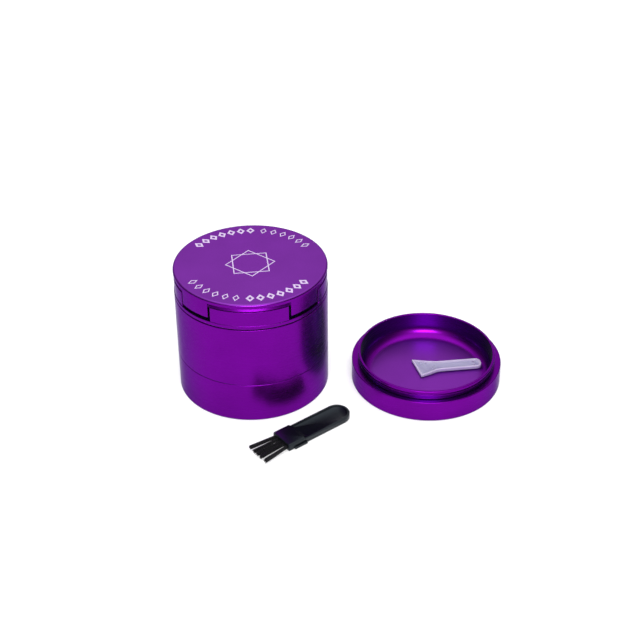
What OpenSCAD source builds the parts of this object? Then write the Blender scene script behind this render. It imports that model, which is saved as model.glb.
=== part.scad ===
// Hand grinder set: a stack of turned sections with a castellated head, its detached
// catcher dish, a scraper lying in the dish and a small cleaning brush.
// The origin is on the stack's axis, on the plane that everything rests on. +Z is up.

/* [Stack] */
// Outer diameter of every turned section
outer_d = 63; // [61:0.5:66]
// Height of the screen chamber's outer wall
screen_chamber_h = 17.4; // [16:0.2:20]
// Height of the grinding chamber's outer wall
grinding_chamber_h = 26.6; // [25:0.2:30]
// Height of the plain lip at the foot of the castellated ring
lip_h = 1.6; // [1.4:0.1:2.2]
// Height of the merlons above the lip
merlon_h = 6.4; // [6:0.1:8]
// Open gap between the merlons and the cap's rim
rim_gap = 1.7; // [1:0.1:2.5]
// Thickness of the cap's rim
rim_h = 1.8; // [1.5:0.1:3]
// Rounding of the cap's upper edge
cap_round_r = 0.9; // [0.4:0.1:1.2]
// Chamfer on the outer edges of the sections
edge_chamfer = 0.3; // [0.1:0.05:0.4]

/* [Castellation] */
// Angle that each notch between two merlons takes
notch_angle = 30.5; // [28:0.5:36]
// Angle that each tab of the cap takes
tab_angle = 27; // [22:0.5:27]
// Gap under the tabs
tab_foot_gap = 1.6; // [0.8:0.1:2.5]
// Turn of the castellation about the axis
castellation_turn = 2.1; // [0:0.1:90]

/* [Teeth] */
// Length of a diamond tooth along its row
tooth_len = 5; // [4:0.1:5.4]
// Width of a diamond tooth across its row
tooth_w = 3; // [2:0.1:3]
// Radial distance between a lower row and the next upper row
row_pitch = 3.5; // [3.5:0.01:3.55]
// Radius of the innermost lower row
first_row_r = 8.4; // [8.3:0.05:8.4]
// Height of the lower teeth above the floor
tooth_h = 9.5; // [6:0.5:9.5]
// Diameter of the drop holes
drop_hole_d = 3.4; // [2:0.1:3.6]

/* [Spigots and sockets] */
// Height of a spigot above its ledge
spigot_h = 3.65; // [3.3:0.05:3.8]
// Width of the ledge around a spigot
ledge_w = 2.58; // [2.4:0.02:2.8]
// Wall thickness of a spigot
spigot_wall = 1.1; // [0.9:0.1:1.3]
// Radial running clearance of a spigot in its socket
fit_gap = 0.08; // [0.02:0.01:0.1]

/* [Catcher dish] */
// Height of the dish's outer wall
dish_wall_h = 9.05; // [8.5:0.05:12]
// Thickness of the dish's floor
dish_floor_t = 2; // [1.5:0.1:2.5]
// Radius of the sweep between the floor and the wall
dish_sweep_r = 5; // [3:0.5:5]
// Place of the dish along X
dish_x = 73.1; // [70:0.1:80]
// Place of the dish along Y
dish_y = -0.5; // [-5:0.1:5]

/* [Scraper] */
// Width of the scraper's handle
scraper_handle_w = 5.8; // [5.4:0.1:8]
// Thickness of the scraper's handle
scraper_t = 1.5; // [1.3:0.1:2.5]
// Direction of the scraper in the dish
scraper_turn = 7.1; // [0:0.1:10]

/* [Brush] */
// Length of the brush's handle
brush_handle_l = 33.7; // [30:0.1:40]
// Width of the brush's handle
brush_handle_w = 10.5; // [10:0.1:12]
// Thickness of the paddle
brush_paddle_t = 2.4; // [2:0.1:2.6]
// Thickness of the head that holds the tufts
brush_head_t = 3.2; // [3:0.1:4]
// Length of the tufts outside the head
tuft_l = 12; // [8:0.5:14]

/* [Hidden] */
$fn = 144;

// Gap left between two faces of different bodies that rest on each other
seat = 0.02;
// Extra length of a cutting shape past the face that it cuts
past = 1;
// Free gap between bodies that never touch
free_gap = 0.3;

// Radii that all the turned sections share
outer_r = outer_d / 2;
spigot_r = outer_r - ledge_w;
spigot_groove_depth = 0.5;
bore_r = spigot_r - spigot_wall;
socket_r = spigot_r + fit_gap;
socket_depth = spigot_h + 0.35;

// Heights of the seams of the stack
seam_low_z = screen_chamber_h;
seam_high_z = seam_low_z + grinding_chamber_h;
lip_foot_z = seam_high_z + free_gap;
lip_top_z = lip_foot_z + lip_h;
merlon_top_z = lip_top_z + merlon_h;
rim_foot_z = merlon_top_z + rim_gap;
cap_top_z = rim_foot_z + rim_h;

// Screen chamber and what lies on its shelf
shelf_z = socket_depth;
shelf_t = 1.4;
shelf_bore_r = bore_r - 2.2;
screen_r = bore_r - 0.2;
gasket_t = 0.8;
hoop_t = 0.45;
mesh_t = 0.15;
snap_t = 1.2;
snap_groove_depth = 0.5;
gasket_z = shelf_z + shelf_t;
hoop_lower_z = gasket_z + gasket_t;
mesh_z = hoop_lower_z + hoop_t;
hoop_upper_z = mesh_z + mesh_t;
snap_z = hoop_upper_z + hoop_t;

// Grinding chamber
floor_t = 2.5;
floor_z = seam_high_z - tooth_h - 1;
floor_foot_z = floor_z - floor_t;
glide_h = 2.3;
glide_seat_z = seam_high_z - glide_h + free_gap;
glide_r = bore_r + 1.4;
post_r = 6;
post_top_z = floor_z + tooth_h + 0.3;
lower_rows = [[first_row_r, 5], [first_row_r + 2 * row_pitch, 9], [first_row_r + 4 * row_pitch, 14]];
upper_rows = [[first_row_r + row_pitch, 7], [first_row_r + 3 * row_pitch, 12],
    [first_row_r + 5 * row_pitch, 16]];
hole_rows = [[first_row_r + row_pitch, 9], [first_row_r + 3 * row_pitch, 16],
    [first_row_r + 4.87 * row_pitch, 22]];

// Castellated ring
web_foot_z = lip_foot_z + 0.7;
web_top_z = web_foot_z + 2.2;
merlon_r = outer_r - 0.2;
merlon_wall = 2.7;
merlon_bore_r = merlon_r - merlon_wall;
skirt_drop = 1.1;
skirt_wall = 0.6;
skirt_r = bore_r - 0.2;
hub_r = 6.5;
hub_foot_z = post_top_z + 0.6;
hub_top_z = web_top_z + 1.4;

// Cap
plug_r = merlon_bore_r - free_gap;
plug_wall = 2.8;
plug_foot_z = web_top_z + seat;
ceiling_z = plug_foot_z + 3.8;
boss_foot_z = hub_top_z + free_gap;
tab_foot_z = lip_top_z + tab_foot_gap;
shoulder_r = merlon_r - 1.1;
shoulder_z = merlon_top_z + 0.1;

// Magnets and their steel cups
magnet_r = 4;
magnet_h = 2.2;
cup_wall = 0.4;
cup_h = magnet_h + cup_wall;

// Scraper, in its own frame: X runs along the handle, away from the blade
scraper_l = 24.3;
scraper_neck_x = 3.4;
scraper_tilt = 0.4;
scraper_rim_w = 0.9;
scraper_corner_r = 2.4;
scraper_hole_d = 0.9;
scraper_hole_y = 1.1;
scraper_hole_inset = 3.1;
blade_t = 1.1;
blade_tip = [-4.8, 6.1];
blade_heel = [-2.7, -6];

// Brush, in its own frame: X runs along the handle, away from the tufts
brush_pos = [13.1, -47.2];
brush_turn = 39;
brush_head_l = 8;
tuft_count = 5;
tuft_r = 0.85;
tuft_hole_r = 0.88;
tuft_pitch = 2.05;
tuft_splay = 1.6;
tuft_z = 1.6;
tuft_socket_l = 2.6;
anchor_t = 0.4;

purple = "#7a1fa0";
steel = "#b9bcc2";

function polar(r, a) = [r * cos(a), r * sin(a)];

// A wedge of a disc, centred on the X axis, whose flanks are the rays at half the angle
module wedge(angle, r) {
    polygon([[0, 0], polar(r, -angle / 2), polar(r, 0), polar(r, angle / 2)]);
}

// A flat ring
module ring(r_in, r_out, z, h) {
    translate([0, 0, z]) difference() {
        cylinder(r = r_out, h = h);
        translate([0, 0, -past]) cylinder(r = r_in, h = h + 2 * past);
    }
}

// Outline, in the half plane of a turned section, of a wall from its foot to its ledge,
// with a spigot on top whose two grooves stand for a short coarse thread
module spigot_section(foot_z, ledge_z) {
    c = edge_chamfer;
    g = spigot_groove_depth;
    z1 = ledge_z + 0.16 * spigot_h;
    z2 = ledge_z + 0.5 * spigot_h;
    z3 = ledge_z + 0.66 * spigot_h;
    top = ledge_z + spigot_h;
    polygon([[0, foot_z], [outer_r - c, foot_z], [outer_r, foot_z + c], [outer_r, ledge_z - c],
        [outer_r - c, ledge_z], [spigot_r - g, ledge_z], [spigot_r - g, z1], [spigot_r, z1],
        [spigot_r, z2], [spigot_r - g, z2], [spigot_r - g, z3], [spigot_r, z3],
        [spigot_r, top - 0.25], [spigot_r - 0.25, top], [0, top]]);
}

// Diamond teeth standing in rows between two heights
module teeth(rows, z, h) {
    for (row = rows, i = [0:row[1] - 1])
        rotate([0, 0, 360 * i / row[1]]) translate([row[0], 0, z]) linear_extrude(h)
            polygon([[tooth_w / 2, 0], [0, tooth_len / 2], [-tooth_w / 2, 0], [0, -tooth_len / 2]]);
}

// Screen chamber: socket for the dish below, shelf for the sieve, spigot on top
module screen_chamber() {
    color(purple) rotate_extrude() difference() {
        spigot_section(0, seam_low_z);
        translate([0, -past]) square([socket_r, shelf_z + past]);
        translate([0, shelf_z - past]) square([shelf_bore_r, shelf_t + 2 * past]);
        translate([0, gasket_z]) square([bore_r, seam_low_z + spigot_h]);
        translate([0, snap_z]) square([bore_r + snap_groove_depth, snap_t]);
    }
}

module screen_gasket() {
    color("#d8d8dc") ring(shelf_bore_r + 0.2, screen_r, gasket_z, gasket_t);
}

module screen_hoop_lower() {
    color(steel) ring(shelf_bore_r + 0.4, screen_r, hoop_lower_z, hoop_t);
}

module screen_mesh() {
    color("silver") translate([0, 0, mesh_z]) cylinder(r = screen_r - 0.3, h = mesh_t);
}

module screen_hoop_upper() {
    color(steel) ring(shelf_bore_r + 0.4, screen_r, hoop_upper_z, hoop_t);
}

// Open snap ring, sprung into the groove above the sieve
module screen_snap_ring() {
    gap_angle = 16;
    color(steel) difference() {
        ring(shelf_bore_r + 0.6, bore_r + snap_groove_depth - 0.05, snap_z, snap_t);
        translate([0, 0, snap_z - past]) linear_extrude(snap_t + 2 * past) wedge(gap_angle, outer_r);
    }
}

// Grinding chamber: socket below, floor with drop holes and teeth, open mouth with the glide seat
module grinding_chamber() {
    c = edge_chamfer;
    foot_z = seam_low_z + seat;
    color(purple) difference() {
        union() {
            rotate_extrude() difference() {
                polygon([[0, foot_z], [outer_r - c, foot_z], [outer_r, foot_z + c],
                    [outer_r, seam_high_z - c], [outer_r - c, seam_high_z], [0, seam_high_z]]);
                translate([0, foot_z - past]) square([socket_r, socket_depth + past]);
                translate([0, foot_z]) square([bore_r, floor_foot_z - foot_z]);
                translate([0, floor_z]) square([bore_r, grinding_chamber_h]);
                translate([0, glide_seat_z]) square([glide_r, grinding_chamber_h]);
            }
            teeth(lower_rows, floor_z - floor_t / 2, tooth_h + floor_t / 2);
            translate([0, 0, floor_z - floor_t / 2])
                cylinder(r = post_r, h = post_top_z - floor_z + floor_t / 2);
        }
        for (row = hole_rows, i = [0:row[1] - 1])
            rotate([0, 0, 360 * (i + 0.5) / row[1]]) translate([row[0], 0, floor_foot_z - past])
                cylinder(d = drop_hole_d, h = floor_t + 2 * past, $fn = 32);
        translate([0, 0, post_top_z - cup_h]) cylinder(r = magnet_r + cup_wall, h = cup_h + past);
    }
}

module post_magnet_cup() {
    color(steel) difference() {
        translate([0, 0, post_top_z - cup_h]) cylinder(r = magnet_r + cup_wall, h = cup_h);
        translate([0, 0, post_top_z - magnet_h]) cylinder(r = magnet_r, h = magnet_h + past);
    }
}

module post_magnet() {
    color("silver") translate([0, 0, post_top_z - magnet_h]) cylinder(r = magnet_r, h = magnet_h);
}

// Nylon ring that the castellated ring turns on
module glide_ring() {
    color("white") ring(skirt_r + fit_gap, glide_r - fit_gap, glide_seat_z + seat, glide_h - 2 * seat);
}

// Castellated ring: lip, merlons, web with the upper teeth, and a hub for its magnet
module tooth_ring() {
    c = edge_chamfer;
    color(purple) difference() {
        union() {
            rotate_extrude() polygon([[0, web_foot_z], [skirt_r - skirt_wall, web_foot_z],
                [skirt_r - skirt_wall, lip_foot_z - skirt_drop], [skirt_r, lip_foot_z - skirt_drop],
                [skirt_r, lip_foot_z], [outer_r - c, lip_foot_z], [outer_r, lip_foot_z + c],
                [outer_r, lip_top_z - c / 2], [outer_r - c / 2, lip_top_z], [merlon_r, lip_top_z],
                [merlon_r, merlon_top_z - c], [merlon_r - c, merlon_top_z],
                [merlon_bore_r + c, merlon_top_z], [merlon_bore_r, merlon_top_z - c],
                [merlon_bore_r, web_top_z], [0, web_top_z]]);
            teeth(upper_rows, floor_z + 0.6, web_foot_z - floor_z);
            translate([0, 0, hub_foot_z]) cylinder(r = hub_r, h = hub_top_z - hub_foot_z);
        }
        for (i = [0:3]) rotate([0, 0, castellation_turn + 45 + 90 * i])
            translate([0, 0, lip_top_z]) linear_extrude(merlon_h + past) difference() {
                gap_outline(notch_angle, merlon_r);
                circle(r = merlon_bore_r);
            }
        translate([0, 0, hub_top_z - magnet_h - 1]) cylinder(r = magnet_r, h = magnet_h + 1 + past);
    }
}

// Wedge that clears one gap of the castellation. It flares over its last stretch, so that the
// corners on both sides of the gap, which lie at corner_r, are chamfered
module gap_outline(angle, corner_r) {
    half = angle / 2;
    flare = edge_chamfer / corner_r * 180 / PI;
    flared = half + 2 * flare;
    edge_r = corner_r + edge_chamfer;
    polygon([[0, 0], polar(corner_r - edge_chamfer, -half), polar(edge_r, -flared),
        polar(edge_r / cos(flared), 0), polar(edge_r, flared),
        polar(corner_r - edge_chamfer, half)]);
}

module tooth_ring_magnet() {
    color("silver") translate([0, 0, hub_top_z - magnet_h - 1]) cylinder(r = magnet_r, h = magnet_h + 1);
}

// Half section of the cap before the gaps between its tabs are cut
module cap_blank() {
    c = edge_chamfer;
    round_z = cap_top_z - cap_round_r;
    polygon([[0, plug_foot_z], [plug_r - 0.1, plug_foot_z], [plug_r - 0.1, tab_foot_z],
        [outer_r - c, tab_foot_z], [outer_r, tab_foot_z + c], [outer_r, round_z],
        [outer_r - cap_round_r, round_z], [outer_r - cap_round_r, cap_top_z], [0, cap_top_z]]);
    intersection() {
        translate([outer_r - cap_round_r, round_z]) circle(r = cap_round_r, $fn = 64);
        translate([0, round_z]) square([outer_r + past, cap_round_r + past]);
    }
}

// Cap: rim with a rounded upper edge, shoulder over the merlons, plug that drops between them
// and four tabs
module cap() {
    color(purple) difference() {
        rotate_extrude() cap_blank();
        for (i = [0:3]) rotate([0, 0, castellation_turn + 90 * i]) intersection() {
            rotate_extrude() polygon([[plug_r, tab_foot_z - past], [2 * outer_r, tab_foot_z - past],
                [2 * outer_r, rim_foot_z], [shoulder_r, rim_foot_z], [shoulder_r, shoulder_z],
                [plug_r, shoulder_z]]);
            translate([0, 0, tab_foot_z - 2 * past]) linear_extrude(rim_foot_z)
                gap_outline(90 - tab_angle, outer_r);
        }
        ring(magnet_r + cup_wall + 1.6, plug_r - plug_wall, plug_foot_z - past,
            ceiling_z - plug_foot_z + past);
        translate([0, 0, plug_foot_z - past])
            cylinder(r = magnet_r + cup_wall + 1.6, h = boss_foot_z - plug_foot_z + past);
        translate([0, 0, boss_foot_z - past]) cylinder(r = magnet_r + cup_wall, h = cup_h + past);
    }
}

module cap_magnet_cup() {
    color(steel) difference() {
        translate([0, 0, boss_foot_z]) cylinder(r = magnet_r + cup_wall, h = cup_h);
        translate([0, 0, boss_foot_z - past]) cylinder(r = magnet_r, h = magnet_h + past);
    }
}

module cap_magnet() {
    color("silver") translate([0, 0, boss_foot_z]) cylinder(r = magnet_r, h = magnet_h);
}

// Catcher dish: low wall, spigot, flat floor that sweeps up into the wall
module catcher_dish() {
    sweep_z = dish_floor_t + dish_sweep_r;
    top_z = dish_wall_h + spigot_h;
    color(purple) translate([dish_x, dish_y, 0]) rotate_extrude() difference() {
        spigot_section(0, dish_wall_h);
        translate([0, sweep_z]) square([bore_r, top_z]);
        translate([0, dish_floor_t]) square([bore_r - dish_sweep_r, top_z]);
        translate([bore_r - dish_sweep_r, sweep_z]) circle(r = dish_sweep_r);
        polygon([[0, top_z - 0.2], [bore_r, top_z - 0.2], [bore_r + 0.25, top_z + 0.05],
            [0, top_z + 0.05]]);
    }
}

// Handle of the scraper with round end corners
module scraper_handle_outline(inset) {
    half = scraper_handle_w / 2 - inset;
    corner = scraper_corner_r - inset;
    end = scraper_l - inset;
    translate([scraper_neck_x, -half]) square([end - corner - scraper_neck_x, 2 * half]);
    translate([scraper_neck_x, corner - half]) square([end - scraper_neck_x, 2 * (half - corner)]);
    for (side = [-1, 1]) translate([end - corner, side * (half - corner)])
        circle(r = corner, $fn = 48);
}

// Scraper: slanted flat blade, handle with a raised rim and two small holes near its end
module scraper() {
    neck = scraper_handle_w / 2;
    color("#cbbde0") translate([dish_x, dish_y, dish_floor_t + 0.2]) rotate([0, 0, scraper_turn])
        translate([0, 1.3, 0]) rotate([0, -scraper_tilt, 0]) difference() {
            union() {
                linear_extrude(blade_t) polygon([blade_tip, blade_heel, [1.2, -4.7],
                    [scraper_neck_x + 1, -neck], [scraper_neck_x + 1, neck], [0.6, 4.4]]);
                linear_extrude(scraper_t) scraper_handle_outline(0);
            }
            translate([0, 0, scraper_t - 0.45]) linear_extrude(past) intersection() {
                scraper_handle_outline(scraper_rim_w);
                translate([scraper_neck_x + 1, -neck]) square([scraper_l, 2 * neck]);
            }
            for (side = [-1, 1])
                translate([scraper_l - scraper_hole_inset, side * scraper_hole_y, -past])
                    cylinder(d = scraper_hole_d, h = scraper_t + 2 * past, $fn = 24);
        }
}

// Places the brush's own frame in the set
module brush_place() {
    translate([brush_pos[0], brush_pos[1], 0]) rotate([0, 0, brush_turn]) children();
}

// Outline of the paddle, with a full round end
module paddle_outline(start_x, inset) {
    half = brush_handle_w / 2;
    translate([start_x, inset - half]) square([brush_handle_l - half - start_x, 2 * (half - inset)]);
    translate([brush_handle_l - half, 0]) circle(r = half - inset);
}

// Places one tuft's frame at the mouth of its hole, with Z out of the hole. The tufts fan out
// from the middle one and droop a little
function tuft_side(i) = 2 * i / (tuft_count - 1) - 1;
module tuft_place(i) {
    translate([0, tuft_side(i) * tuft_pitch * (tuft_count - 1) / 2, tuft_z])
        rotate([0, 0, -atan(tuft_side(i) * tuft_splay / tuft_l)]) rotate([0, -91, 0]) children();
}

// Brush handle: recessed paddle, thicker head with five blind holes, small nib on one side
module brush_handle() {
    half = brush_handle_w / 2;
    nib = 0.7;
    color("#15161a") brush_place() difference() {
        union() {
            linear_extrude(brush_paddle_t) paddle_outline(0, 0);
            rotate([90, 0, 90]) linear_extrude(brush_head_l)
                polygon([[-half, 0], [half, 0], [half, brush_head_t - 0.5], [half - 0.5, brush_head_t],
                    [0.5 - half, brush_head_t], [-half, brush_head_t - 0.5]]);
            linear_extrude(1.3) polygon([[2.4, 0.1 - half], [3, -half - nib], [8.2, -half - nib],
                [9.2, 0.1 - half]]);
        }
        translate([0, 0, brush_paddle_t - 0.6]) linear_extrude(past)
            paddle_outline(brush_head_l + 1.2, 1.1);
        for (i = [0:tuft_count - 1]) tuft_place(i) translate([0, 0, -tuft_socket_l])
            cylinder(r = tuft_hole_r, h = tuft_socket_l + past, $fn = 32);
    }
}

// Five tufts of bristles, each seated on its anchor
module bristle_tufts() {
    color("#0c0c0e") brush_place() for (i = [0:tuft_count - 1]) tuft_place(i)
        translate([0, 0, anchor_t - tuft_socket_l])
            cylinder(r = tuft_r, h = tuft_l + tuft_socket_l - anchor_t, $fn = 24);
}

// Flat metal anchors at the bottom of the tufts' holes
module tuft_anchors() {
    color(steel) brush_place() for (i = [0:tuft_count - 1]) tuft_place(i)
        translate([-0.45, -0.7, -tuft_socket_l]) cube([0.9, 1.4, anchor_t]);
}

screen_chamber();
screen_gasket();
screen_hoop_lower();
screen_mesh();
screen_hoop_upper();
screen_snap_ring();
grinding_chamber();
post_magnet_cup();
post_magnet();
glide_ring();
tooth_ring();
tooth_ring_magnet();
cap();
cap_magnet_cup();
cap_magnet();
catcher_dish();
scraper();
brush_handle();
bristle_tufts();
tuft_anchors();
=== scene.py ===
"""Looks of the hand grinder set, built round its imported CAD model."""

import math

import bmesh
import bpy
from bpy.props import FloatProperty, FloatVectorProperty, IntProperty, PointerProperty
from bpy.types import Operator, Panel, PropertyGroup
from mathutils import Matrix, Vector


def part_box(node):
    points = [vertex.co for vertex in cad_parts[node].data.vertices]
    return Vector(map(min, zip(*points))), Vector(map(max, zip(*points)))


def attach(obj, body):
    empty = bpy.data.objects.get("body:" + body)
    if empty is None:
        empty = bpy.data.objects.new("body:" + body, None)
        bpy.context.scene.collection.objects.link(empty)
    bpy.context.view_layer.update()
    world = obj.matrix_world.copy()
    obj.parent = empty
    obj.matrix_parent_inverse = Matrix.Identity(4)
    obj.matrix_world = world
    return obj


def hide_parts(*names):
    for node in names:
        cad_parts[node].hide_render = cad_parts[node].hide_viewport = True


bl_info = {
    "name": "Hand grinder set",
    "version": (1, 0, 0),
    "blender": (4, 5, 0),
    "location": "3D View > Sidebar > Grinder",
    "description": "Builds the finished pieces of a hand grinder set round its CAD frame",
    "category": "Add Mesh",
}

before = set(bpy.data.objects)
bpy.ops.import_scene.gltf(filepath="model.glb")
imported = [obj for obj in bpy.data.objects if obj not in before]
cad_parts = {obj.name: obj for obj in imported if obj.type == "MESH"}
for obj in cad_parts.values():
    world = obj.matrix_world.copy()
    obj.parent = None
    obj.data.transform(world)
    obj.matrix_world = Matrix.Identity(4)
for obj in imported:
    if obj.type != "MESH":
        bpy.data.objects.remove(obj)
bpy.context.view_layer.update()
MM = 0.001
TINY = 1e-7
TURN_STEPS = 192
FINE = 0.12 * MM
CREASE = math.radians(32)

# Rows round the axis, as (row pitches out from the innermost row, pieces in the row)
LOWER_ROWS = ((0, 5), (2, 9), (4, 14))
UPPER_ROWS = ((1, 7), (3, 12), (5, 16))
DROP_ROWS = ((1, 9), (3, 16), (4.87, 22))


# ---------------------------------------------------------------- sizes and colours


def size(name, text, default, low=0.0, high=0.2):
    """A length property in metres."""
    return FloatProperty(
        name=name, description=text, default=default, min=low, max=high, unit="LENGTH", precision=5
    )


def colour(name, text, default):
    """A linear colour property."""
    return FloatVectorProperty(
        name=name, description=text, default=default, size=3, min=0.0, max=1.0, subtype="COLOR"
    )


class GRINDER_PG_sizes(PropertyGroup):
    """Sizes that the CAD boxes don't give."""

    edge_round: size("Edge round", "Rounding of the turned edges", 0.28 * MM)
    ledge: size("Ledge", "Width of the ledge round a spigot", 2.58 * MM)
    spigot_wall: size("Spigot wall", "Wall of a spigot", 1.1 * MM)
    groove: size("Groove", "Depth of the grooves in a spigot", 0.5 * MM)
    spigot_height: size("Spigot height", "Height of a spigot above its ledge", 3.65 * MM)
    socket_gap: size("Socket gap", "Running clearance of a spigot", 0.08 * MM)
    dish_floor: size("Dish floor", "Thickness of the dish's floor", 2 * MM)
    dish_sweep: size("Dish sweep", "Radius between the dish's floor and wall", 5 * MM)
    floor_thickness: size("Chamber floor", "Thickness of the grinding floor", 2.5 * MM)
    tooth_height: size("Tooth height", "Height of the lower teeth", 9.5 * MM)
    tooth_length: size("Tooth length", "Length of a diamond tooth along its row", 5 * MM)
    tooth_width: size("Tooth width", "Width of a diamond tooth across its row", 3 * MM)
    first_row: size("First row", "Radius of the innermost row of teeth", 8.4 * MM)
    row_pitch: size("Row pitch", "Distance from a lower row to the next upper row", 3.5 * MM)
    drop_hole: size("Drop hole", "Radius of the drop holes", 1.7 * MM)
    magnet_radius: size("Magnet radius", "Radius of the disc magnets", 4 * MM)
    cup_wall: size("Cup wall", "Wall of the magnets' steel cups", 0.4 * MM)
    wire_pitch: size("Wire pitch", "Distance between the wires of the sieve", 0.5 * MM)
    wire_radius: size("Wire radius", "Radius of the sieve's wires", 0.036 * MM)
    snap_gap: FloatProperty(
        name="Snap gap", description="Angle of the gap in the snap ring",
        default=math.radians(16), subtype="ANGLE",
    )
    stroke: size("Stroke", "Width of the ornament's thin strokes", 0.42 * MM)
    bold_stroke: size("Bold stroke", "Width of the ornament's bold strokes", 0.8 * MM)
    ornament_radius: size("Ornament radius", "Radius of the ornament's ring", 26.25 * MM)
    star_radius: size("Star radius", "Radius of the star in the ornament's middle", 10.3 * MM)
    tuft_length: size("Tuft length", "Length of the tufts outside the brush", 12 * MM)
    tuft_radius: size("Tuft radius", "Radius of a tuft", 0.64 * MM)
    filament: size("Filament", "Radius of a bristle", 0.075 * MM)
    notch: FloatProperty(
        name="Notch", description="Angle of a notch", default=math.radians(30.5), subtype="ANGLE"
    )
    tab: FloatProperty(
        name="Tab", description="Angle of a tab", default=math.radians(27), subtype="ANGLE"
    )
    head_turn: FloatProperty(
        name="Head turn", description="Turn of the castellation", default=math.radians(2.1),
        subtype="ANGLE",
    )
    bristles: IntProperty(
        name="Bristles", description="Filaments in each tuft", default=70, min=5, max=200
    )


class GRINDER_PG_colours(PropertyGroup):
    """Colours of the finishes."""

    body: colour("Body", "Anodising on the body", (0.128, 0.0003, 0.228))
    lid: colour("Lid", "Blasted anodising on the lid", (0.200, 0.034, 0.345))
    dish: colour("Dish", "Anodising on the dish", (0.135, 0.0004, 0.235))
    edge: colour("Edge", "Tint of anodising seen at a grazing angle", (0.42, 0.36, 0.52))
    dish_floor: colour("Dish floor", "Anodising on the dish's floor", (0.190, 0.026, 0.340))
    mark: colour("Mark", "Bared metal of the lid's ornament", (0.62, 0.50, 0.72))
    scraper: colour("Scraper", "Milky plastic", (0.52, 0.455, 0.64))
    thin: colour("Thin scraper", "Milky plastic where it is thin", (0.43, 0.40, 0.62))
    black: colour("Black plastic", "Brush handle", (0.002, 0.0025, 0.004))
    bristle: colour("Bristle", "Brush filaments", (0.0022, 0.0022, 0.0032))
    steel: colour("Steel", "Stainless steel", (0.56, 0.57, 0.59))
    nickel: colour("Nickel", "Nickel plating", (0.70, 0.68, 0.63))
    nylon: colour("Nylon", "Glide ring", (0.80, 0.79, 0.75))
    silicone: colour("Silicone", "Sieve gasket", (0.72, 0.72, 0.74))


def sizes():
    """The sizes in use."""
    return bpy.context.scene.grinder_sizes


def colours():
    """The colours in use."""
    return bpy.context.scene.grinder_colours


# ---------------------------------------------------------------- materials


class Nodes:
    """A short way to write a shader or geometry tree."""

    def __init__(self, tree):
        self.tree = tree

    def add(self, kind, **settings):
        """A new node with some of its settings."""
        node = self.tree.nodes.new(kind)
        for key, value in settings.items():
            setattr(node, key, value)
        return node

    def link(self, source, target):
        """Joins an output to an input."""
        self.tree.links.new(source, target)

    def put(self, target, value):
        """Links a socket or sets a plain value."""
        if isinstance(value, bpy.types.NodeSocket):
            self.link(value, target)
        else:
            target.default_value = value

    def math(self, operation, a, b=None):
        """The result of one sum."""
        node = self.add("ShaderNodeMath", operation=operation)
        self.put(node.inputs[0], a)
        if b is not None:
            self.put(node.inputs[1], b)
        return node.outputs[0]

    def ramp(self, value, stops):
        """A colour that changes with a value, as (place, colour) stops."""
        node = self.add("ShaderNodeValToRGB")
        self.link(value, node.inputs["Fac"])
        elements = node.color_ramp.elements
        while len(elements) < len(stops):
            elements.new(0.5)
        for element, (place, tone) in zip(elements, stops):
            element.position = place
            element.color = (*tone, 1)
        return node.outputs["Color"]

    def multiply(self, a, b):
        """One colour times another."""
        node = self.add("ShaderNodeMix", data_type="RGBA", blend_type="MULTIPLY")
        self.put(node.inputs["Factor"], 1.0)
        self.put(node.inputs["A"], (*a, 1) if isinstance(a, tuple) else a)
        self.put(node.inputs["B"], b)
        return node.outputs["Result"]

    def reach(self, x, y):
        """Distance from the vertical axis."""
        squares = self.math("ADD", self.math("MULTIPLY", x, x), self.math("MULTIPLY", y, y))
        return self.math("SQRT", squares)

    def around(self, value, middle, spread):
        """A value between 0 and 1, spread evenly round a middle."""
        return self.math("ADD", self.math("MULTIPLY", value, spread), middle - spread / 2)


def new_material(name):
    """A material with a bare Principled shader. Returns it, its node helper and the shader."""
    material = bpy.data.materials.new(name)
    material.use_nodes = True
    nodes = Nodes(material.node_tree)
    shader = material.node_tree.nodes["Principled BSDF"]
    return material, nodes, shader


def set_shader(shader, **values):
    """Sets a shader's plain inputs by their names."""
    for key, value in values.items():
        socket = shader.inputs[key.replace("_", " ")]
        socket.default_value = (*value, 1) if socket.type == "RGBA" and len(value) == 3 else value


def axis_coordinates(nodes, centre):
    """Object coordinates about a piece's own vertical axis, with their radius and height."""
    place = nodes.add("ShaderNodeTexCoord").outputs["Object"]
    mapping = nodes.add("ShaderNodeMapping")
    mapping.inputs["Location"].default_value = (-centre[0], -centre[1], 0)
    nodes.link(place, mapping.inputs["Vector"])
    split = nodes.add("ShaderNodeSeparateXYZ")
    nodes.link(mapping.outputs["Vector"], split.inputs[0])
    x, y, z = split.outputs
    return mapping.outputs["Vector"], nodes.reach(x, y), z


def noise(nodes, vector, scale, detail=3.0, dimensions="3D"):
    """A noise value over a place, or over one length."""
    node = nodes.add("ShaderNodeTexNoise", noise_dimensions=dimensions)
    if dimensions == "1D":
        nodes.put(node.inputs["W"], vector)
    else:
        nodes.put(node.inputs["Vector"], vector)
    node.inputs["Scale"].default_value = scale
    node.inputs["Detail"].default_value = detail
    return node.outputs["Fac"]


def mix_colour(nodes, factor, a, b):
    """Fades from one colour to another."""
    node = nodes.add("ShaderNodeMix", data_type="RGBA")
    nodes.put(node.inputs["Factor"], factor)
    for socket, value in ((node.inputs["A"], a), (node.inputs["B"], b)):
        nodes.put(socket, (*value, 1) if isinstance(value, tuple) else value)
    return node.outputs["Result"]


def relief(nodes, shader, height, strength, depth):
    """Gives a shader a fine relief."""
    bump = nodes.add("ShaderNodeBump")
    bump.inputs["Strength"].default_value = strength
    bump.inputs["Distance"].default_value = depth
    nodes.link(height, bump.inputs["Height"])
    nodes.link(bump.outputs["Normal"], shader.inputs["Normal"])


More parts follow.
